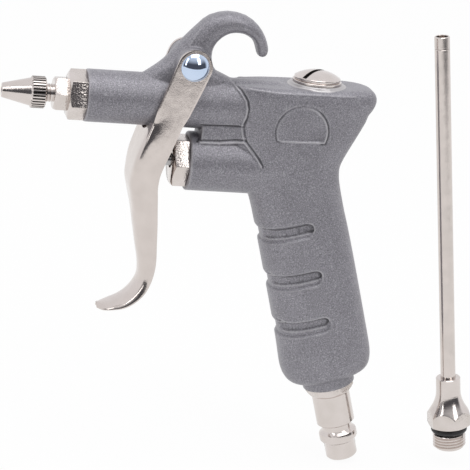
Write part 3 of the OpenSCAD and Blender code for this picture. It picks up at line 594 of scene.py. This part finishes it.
def make_lever():
    """One grid: its first rows are the two arms, with the columns between them cut out, and the others are
    the channel down to the tip."""
    bm = bmesh.new()
    columns, rows = LEVER_COLUMNS, CHANNEL_ROWS + ARM_ROWS
    made = bmesh.ops.create_grid(bm, x_segments=columns - 1, y_segments=rows - 1, size=1)["verts"]
    made.sort(key=lambda v: (round(v.co.y, 5), round(v.co.x, 5)))
    last = len(LEVER_STATIONS) - 1
    foot = []
    for r in range(CHANNEL_ROWS):
        section = channel_section(last * r / (CHANNEL_ROWS - 1))
        lift = max(0.0, 1 - r / WEB_ROWS) ** 1.5
        for c, point in enumerate(section):
            saddle = BARREL_H - PIVOT_H - math.sqrt(max(SADDLE_R ** 2 - point.y ** 2, 0))
            up = lift * min(WEB_RISE, (saddle + WEB_DROP) / math.cos(ARM_LEAN))
            place = point + ARM_UP * up
            place.y *= 1 + swollen(place.z) * min(c, LEVER_COLUMNS - 1 - c, ARM_COLUMNS) / ARM_COLUMNS
            made[(ARM_ROWS + r) * columns + c].co = place
            if r == 0:
                foot.append(place)
    for r in range(ARM_ROWS):
        share = 1 - r / ARM_ROWS
        rear, front = along_arm(share)
        for c in range(columns):
            near = min(c, columns - 1 - c)
            place = rear.lerp(front, min(near / (ARM_COLUMNS - 1), 1))
            base = ARM_REAR[0].lerp(ARM_FRONT[0], min(near / (ARM_COLUMNS - 1), 1))
            # the lowest sixth of the arm takes up the channel's first row
            blend = max(0.0, 1 - share * 6) ** 2
            place = place + (foot[c] - base) * blend
            place.y = math.copysign(LEVER_W / 2, foot[c].y) * (1 - blend) + foot[c].y * blend
            made[r * columns + c].co = place
    web = [made[r * columns + c] for r in range(ARM_ROWS) for c in range(ARM_COLUMNS, columns - ARM_COLUMNS)]
    bmesh.ops.delete(bm, geom=web, context="VERTS")
    bmesh.ops.remove_doubles(bm, verts=bm.verts, dist=0.01)
    bmesh.ops.transform(bm, matrix=upright(PIVOT_X, PIVOT_H), verts=bm.verts)
    # the wall and the rounded edges stay live on the lever
    piece = as_piece("lever", bm, "trigger", [PRESSED], ["trigger_lever"])
    wall = piece.modifiers.new("wall", "SOLIDIFY")
    wall.thickness = SHEET_T * 0.001
    wall.offset = -1
    edge = piece.modifiers.new("edge", "BEVEL")
    edge.width = 0.00035
    edge.segments = 3
    edge.limit_method = "ANGLE"
    edge.angle_limit = math.radians(50)


make_lever()


# Turned pieces: each is spun from a closed outline of (distance, radius) and may be milled to a hexagon

RIVET_R = 2.5
RIVET_HEAD_R = 4.45
RIVET_HEAD_H = 2.1
KNURLS = 30
KNURL_DEPTH = 0.45
# half a cut's width, as a share of the knurl's pitch
KNURL_HALF = 0.26
SLOT_TURN = 40
SLOT_W = 1.5
# the saw's height and its middle over the plug's foot
SLOT_H = 4.0
SLOT_MIDDLE = 3.1


def milled(bm, across_flats, turn):
    """Cuts six flats, which show the drawn bar's own skin, and breaks their edges by 0.09 mm."""
    for k in range(6):
        way = Matrix.Rotation(math.radians(turn + 30 + 60 * k), 3, "Z") @ Vector((1, 0, 0))
        cut = bmesh.ops.bisect_plane(bm, geom=bm.verts[:] + bm.edges[:] + bm.faces[:], dist=1e-5,
                                     plane_co=way * across_flats / 2, plane_no=way, clear_outer=True)
        loop = [e for e in cut["geom_cut"] if isinstance(e, bmesh.types.BMEdge)]
        for face in bmesh.ops.edgeloop_fill(bm, edges=loop)["faces"]:
            face.material_index = 1
    bmesh.ops.remove_doubles(bm, verts=bm.verts, dist=0.02)
    crisp = [e for e in bm.edges if len(e.link_faces) == 2 and any(f.material_index for f in e.link_faces)
             and e.calc_face_angle(0) > math.radians(8)]
    bmesh.ops.bevel(bm, geom=crisp, offset=0.09, offset_type="OFFSET", affect="EDGES", segments=2,
                    profile=0.5, material=-1, clamp_overlap=True)


def make_turned(name, node, outline, place, flats=0, turn=0, body="gun", skin=TURNED,
                steps=96):
    """A piece spun from its outline and, where flats is given, milled to a hexagon of that many
    millimetres across."""
    bm = bmesh.new()
    spun(bm, outline, steps)
    if flats:
        milled(bm, flats, turn)
    note_along(bm)
    bmesh.ops.transform(bm, matrix=place, verts=bm.verts)
    return as_piece(name, bm, body, [skin, MILLED], [node])


def dome(radius, height, foot, top_up=1):
    """Rows of a dome from its rim to its pole, over the height foot, upwards or downwards."""
    ball = (radius ** 2 + height ** 2) / (2 * height)
    rows = []
    for k in range(17):
        a = math.asin(radius / ball) * (1 - k / 16)
        rows.append((foot + top_up * (height - ball + ball * math.cos(a)), ball * math.sin(a)))
    return rows


def make_rivet():
    """The rivet with its two domed heads, each 0.03 mm off the lever's arm."""
    base = LEVER_W / 2 + 0.03
    far = dome(RIVET_HEAD_R, RIVET_HEAD_H, -base, -1)[::-1]
    near = dome(RIVET_HEAD_R, RIVET_HEAD_H, base)
    make_turned("rivet", "pivot_rivet", far + [(-base, RIVET_R), (base, RIVET_R)] + near,
                across(PIVOT_X, PIVOT_H), skin=ZINC, steps=72)


def make_knurled_tip():
    """The cone with its straight knurl, whose cuts are painted dark for their shade and dirt."""
    bm = bmesh.new()
    spun(bm, [(0.15, 1.0), (0, 1.15), (0, 2.1), (0.25, 2.32), (8.9, 4.4), (9.05, 4.5), (9.45, 5.05),
              (13.4, 5.05), (13.7, 4.75), (13.7, 3.1), (13.6, 3.0), (7.8, 3.0), (7.8, 1.0), (0.15, 1.0)], 240)
    for v in bm.verts:
        r = math.hypot(v.co.x, v.co.y)
        if r > 4.7:
            step = math.atan2(v.co.y, v.co.x) / (2 * math.pi) * KNURLS % 1
            share = 1 - KNURL_DEPTH * max(0.0, 1 - abs(step - 0.5) / KNURL_HALF) / r
            v.co.x *= share
            v.co.y *= share
    # the faces at the bottom of the cuts take the dark skin of painted shade and dirt
    for face in bm.faces:
        middle = face.calc_center_median()
        if 9.4 < middle.z < 13.5 and 4.6 < math.hypot(middle.x, middle.y) < 4.95:
            face.material_index = 1
    note_along(bm)
    bmesh.ops.transform(bm, matrix=on_barrel(TIP_FRONT), verts=bm.verts)
    as_piece("nozzle_cone", bm, "tip", [TURNED, GROOVE], ["nozzle_tip"])


def make_holder():
    """The small hexagon with its threaded stub in front."""
    bm = bmesh.new()
    spun(bm, [(0, 1.3), (0, 4.7), (0.9, 5.8), (4.4, 5.8), (4.4, 1.3), (0, 1.3)])
    milled(bm, 10, -38)
    spun(bm, [(-7.4, 1.3), (-7.4, 2.6), (-7.2, 2.72), (0.1, 2.72), (0.1, 1.3), (-7.4, 1.3)], 64)
    thread = helix(bm, 2.72, 2.95, 0.75, -7.0, 8.6)
    within_radius(thread, lambda z: min(2.95, 2.75 + max(0, z + 7.3) * 0.6))
    note_along(bm)
    bmesh.ops.transform(bm, matrix=on_barrel(HOLDER_X), verts=bm.verts)
    as_piece("holder", bm, "gun", [TURNED, MILLED], ["nozzle_holder"])


def make_slotted_plug():
    """The dome on the port, sawn across."""
    outline = [(0, 0), (0, 7.2), (0.12, 7.3), (0.35, 7.4), (0.9, 7.4)] + dome(7.4, 2.25, 0.9)[1:]
    piece = make_turned("slotted_plug", "port_plug", outline, upright(PORT_X, PORT_BASE), steps=128)
    bm = bmesh.new()
    bmesh.ops.create_cube(bm, size=1)
    place = (upright(PORT_X, PORT_BASE + SLOT_MIDDLE) @ Matrix.Rotation(math.radians(SLOT_TURN), 4, "Z")
             @ Matrix.Diagonal((20, SLOT_W, SLOT_H, 1)))
    bmesh.ops.transform(bm, matrix=place, verts=bm.verts)
    mesh = bpy.data.meshes.new("slot")
    bm.to_mesh(mesh)
    bm.free()
    # the slot's faces take the dark skin of painted shade and dirt
    mesh.materials.append(GROOVE)
    saw = bpy.data.objects.new("slot", mesh)
    bpy.context.scene.collection.objects.link(saw)
    cut = piece.modifiers.new("slot", "BOOLEAN")
    cut.object = saw
    cut.operation = "DIFFERENCE"
    cut.material_mode = "TRANSFER"
    edge = piece.modifiers.new("edge", "BEVEL")
    edge.width = 0.00018
    edge.segments = 2
    edge.limit_method = "ANGLE"
    edge.angle_limit = math.radians(30)
    applied(piece)
    bpy.data.objects.remove(saw)
    piece.data.set_sharp_from_angle(angle=SHARP)


def make_spare_fitting():
    """The bell with its hexagon, and the threaded end under it."""
    bm = bmesh.new()
    bell = [(11.8, 7.52), (12.5, 7.16), (13.2, 6.75), (14.1, 6.2), (15.0, 5.65), (15.9, 5.17), (16.9, 4.77),
            (17.8, 4.47), (18.7, 4.26), (19.6, 4.14), (20.6, 4.1)]
    spun(bm, [(8.0, 1.6), (8.0, 6.3), (8.15, 6.7), (8.6, 7.6)] + bell
         + [(24.9, 4.1), (25.2, 3.8), (25.2, 2.52), (16.2, 2.52), (16.2, 1.6), (8.0, 1.6)])
    milled(bm, 13, 30)
    spun(bm, [(0.3, 1.6), (0, 1.9), (0, 4.5), (0.35, 4.85), (5.2, 4.85), (5.6, 4.2), (8.1, 4.2), (8.1, 1.6),
              (0.3, 1.6)])
    thread = helix(bm, 4.85, 5.5, 1.0, 0.45, 4.9)
    within_radius(thread, lambda z: min(5.5, 4.9 + max(0, z) * 1.1, 4.9 + max(0, 5.5 - z) * 1.6))
    note_along(bm)
    bmesh.ops.transform(bm, matrix=on_spare(0), verts=bm.verts)
    as_piece("long_nozzle_fitting", bm, "spare_nozzle", [TURNED, MILLED], ["spare_fitting"])


def ring_outline(middle, wire, height, steps=20):
    """Outline of an O-ring at that height, of that middle radius and wire diameter."""
    turns = [2 * math.pi * k / steps for k in range(steps + 1)]
    return [(height + wire / 2 * math.sin(a), middle + wire / 2 * math.cos(a)) for a in turns]


make_rivet()
make_knurled_tip()
make_holder()
make_slotted_plug()
make_spare_fitting()
make_turned("gland_nut", "valve_gland_nut",
            [(0, 2.04), (-3.5, 2.04), (-3.5, 2.7), (-4.8, 2.7), (-5, 2.9), (-5, 7.2), (-4.9, 7.4),
             (-4.25, 8.75), (0, 8.75), (0, 2.04)], on_valve(VALVE_FRONT), 15, 31)
make_turned("bushing", "nozzle_bushing",
            [(0, 0.5), (-5.7, 0.5), (-5.7, 6.5), (-5.6, 6.7), (-4.9, 8.12), (0, 8.12), (0, 0.5)],
            on_barrel(BARREL_FRONT), 14, -12)
make_turned("port_washer", "port_plug_washer",
            [(-0.78, 5), (-0.78, 7.75), (-0.66, 7.88), (-0.14, 7.88), (-0.02, 7.75), (-0.02, 5), (-0.78, 5)],
            upright(PORT_X, PORT_BASE))
make_turned("quick_plug", "inlet_plug",
            [(0.4, 3.5), (0, 3.9), (0, 4.3), (0.15, 4.8), (0.7, 5.2), (5.6, 5.2), (5.9, 5.35), (6.5, 6.05),
             (7.0, 6.3), (8.7, 6.3), (9.2, 6.15), (9.9, 5.3), (10.3, 5.0), (12.2, 5.0), (12.45, 5.2),
             (12.45, 5.9), (12.8, 6.3), (23.3, 6.3), (23.5, 6.55), (24.9, 8.0), (26.5, 8.15), (26.78, 7.9),
             (26.78, 3.5), (0.4, 3.5)], raked(0), 14, -13)
make_turned("long_tube", "spare_tube",
            [(16.3, 1.6), (16.3, 2.5), (138.0, 2.5), (138.15, 2.38), (138.15, 1.6), (16.3, 1.6)], on_spare(0),
            body="spare_nozzle", skin=TUBE, steps=64)
make_turned("tube_outlet", "spare_outlet",
            [(134.2, 1.0), (134.2, 1.55), (138.2, 1.55), (138.2, 2.38), (138.35, 2.5), (141.95, 2.5),
             (142.2, 2.3), (142.2, 2.05), (142.05, 1.95), (139.4, 1.9), (138.6, 1.0), (134.2, 1.0)],
            on_spare(0), body="spare_nozzle", skin=TUBE, steps=64)
make_turned("thread_seal", "spare_o_ring", ring_outline(5.1, 1.9, 6.7), on_spare(0),
            body="spare_nozzle", skin=RUBBER, steps=72)
make_turned("push_pin", "valve_stem",
            [(0, 0), (0.05, 0.8), (0.35, 1.4), (0.8, 1.8), (1.4, 1.98), (30.0, 1.98), (30.0, 0)],
            on_valve(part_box("valve_stem")[0].x * 1000), body="valve", skin=STEEL, steps=48)

# What stays of the CAD: the valve's inner pieces and the seals
INNER = {"gland_ring": RUBBER, "stem_o_ring": RUBBER, "cage_o_ring": RUBBER, "poppet_seal": RUBBER,
         "bushing_seal": RUBBER, "tip_seal": RUBBER, "inlet_seal": RUBBER, "valve_cage": BRASS,
         "valve_poppet": BRASS, "valve_spring": STEEL}
for name, skin in INNER.items():
    nodes[name].data.materials.clear()
    nodes[name].data.materials.append(skin)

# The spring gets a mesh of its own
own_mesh(nodes["valve_spring"])


# Studio

# how much of the table is plain white to the eye; the rest takes the light and the object's shadow
WHITE_SHARE = 0.95
# name, azimuth round from the camera's, distance out, height, width and length in metres, and watts
LAMPS = [("window_right", 41, 1.1, 0.84, 0.46, 0.9, 3.3),
         ("strip_left", -48, 1.1, 0.55, 0.18, 0.9, 1.4),
         ("overhead", 10, 0.25, 1.25, 1.0, 0.8, 4.4)]
LAMPS_AIM = Vector((-0.04, 0, 0.08))
# the photograph's camera: degrees round towards the nozzle, above and rolled, metres, and its focal length
# in the pixels of a square photograph of that many
CAMERA_TURN = -13
CAMERA_RISE = 16.2
CAMERA_ROLL = 6.55
CAMERA_AIM = Vector((-0.045095, 0, 0.07465))
CAMERA_AWAY = 0.8075
FOCAL_PIXELS = 2500
PHOTO_PIXELS = 470


def make_room():
    """White to the camera's eye. For the light it is pale, but dark on the camera's own side, and less so
    high up, which gives bright metal its dark bands."""
    world = bpy.data.worlds.new("studio")
    bpy.context.scene.world = world
    world.use_nodes = True
    tree = world.node_tree
    tree.nodes.clear()
    path = add(tree, "LightPath")
    place = add(tree, "TexCoord")
    axes = add(tree, "SeparateXYZ", links={"Vector": (place, "Generated")})
    front = add(tree, "MapRange", {"From Min": -0.10, "From Max": -0.35}, {"Value": (axes, "Y")})
    low = add(tree, "MapRange", {"From Min": 0.3, "From Max": 0.7, "To Min": 1.0, "To Max": 0.25},
              {"Value": (axes, "Z")})
    dark = add(tree, "Math", links={0: (front, "Result"), 1: (low, "Result")}, operation="MULTIPLY")
    room = add(tree, "Mix", {6: (0.95, 0.95, 0.97, 1), 7: (0.10, 0.10, 0.11, 1)}, {0: (dark, "Value")},
               data_type="RGBA")
    seen = add(tree, "Mix", {7: (1, 1, 1, 1)}, {0: (path, "Is Camera Ray"), 6: (room, 2)}, data_type="RGBA")
    glow = add(tree, "Background", links={"Color": (seen, 2)})
    add(tree, "OutputWorld", links={"Surface": (glow, "Background")})


def make_table():
    """A white sheet just under the lowest piece, which keeps the object's shadow."""
    material, tree = new_material("white_table")
    path = add(tree, "LightPath")
    seen = add(tree, "Math", links={0: (path, "Is Camera Ray"), 1: (path, "Is Glossy Ray")},
               operation="MAXIMUM")
    seen = add(tree, "Math", links={0: (seen, "Value"), 1: (path, "Is Transmission Ray")},
               operation="MAXIMUM")
    share = add(tree, "Math", {1: WHITE_SHARE}, {0: (seen, "Value")}, operation="MULTIPLY")
    lit = add(tree, "BsdfDiffuse", {"Color": (0.8, 0.8, 0.8, 1)})
    glow = add(tree, "Emission", {"Color": (1, 1, 1, 1), "Strength": 1.0})
    both = add(tree, "MixShader", links={0: (share, "Value"), 1: (lit, "BSDF"), 2: (glow, "Emission")})
    add(tree, "OutputMaterial", links={"Surface": (both, "Shader")})
    bm = bmesh.new()
    bmesh.ops.create_grid(bm, x_segments=1, y_segments=1, size=1)
    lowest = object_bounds()[0].z
    under = Matrix.Translation((0, 0.4, lowest - 0.0002))
    bmesh.ops.transform(bm, matrix=under @ Matrix.Diagonal((1.3, 1.0, 1, 1)), verts=bm.verts)
    mesh = bpy.data.meshes.new("table")
    bm.to_mesh(mesh)
    bm.free()
    mesh.materials.append(material)
    table = bpy.data.objects.new("table", mesh)
    bpy.context.scene.collection.objects.link(table)


def make_lamps():
    for name, azimuth, reach, height, wide, tall, power in LAMPS:
        lamp = bpy.data.lights.new(name, "AREA")
        lamp.shape = "RECTANGLE"
        lamp.size = wide
        lamp.size_y = tall
        lamp.energy = power
        holder = bpy.data.objects.new(name, lamp)
        bpy.context.scene.collection.objects.link(holder)
        turn = math.radians(azimuth + CAMERA_TURN)
        holder.location = LAMPS_AIM + Vector((math.sin(turn) * reach, -math.cos(turn) * reach, height))
        holder.rotation_euler = (LAMPS_AIM - holder.location).to_track_quat("-Z", "Y").to_euler()


def make_camera():
    azimuth, elevation, roll = (math.radians(degrees) for degrees in (CAMERA_TURN, CAMERA_RISE, CAMERA_ROLL))
    ahead = Vector((-math.sin(azimuth) * math.cos(elevation), math.cos(azimuth) * math.cos(elevation),
                    -math.sin(elevation)))
    level = Vector((math.cos(azimuth), math.sin(azimuth), 0))
    rise = level.cross(ahead)
    right = level * math.cos(roll) + rise * math.sin(roll)
    up = rise * math.cos(roll) - level * math.sin(roll)
    data = bpy.data.cameras.new("camera")
    data.sensor_width = 36
    data.lens = 36 * FOCAL_PIXELS / PHOTO_PIXELS
    data.clip_end = 50
    camera = bpy.data.objects.new("camera", data)
    bpy.context.scene.collection.objects.link(camera)
    camera.matrix_world = (Matrix.Translation(CAMERA_AIM - ahead * CAMERA_AWAY)
                           @ Matrix((right, up, -ahead)).transposed().to_4x4())
    bpy.context.scene.camera = camera


bpy.context.scene.view_settings.view_transform = "Standard"
make_room()
make_table()
make_lamps()
make_camera()
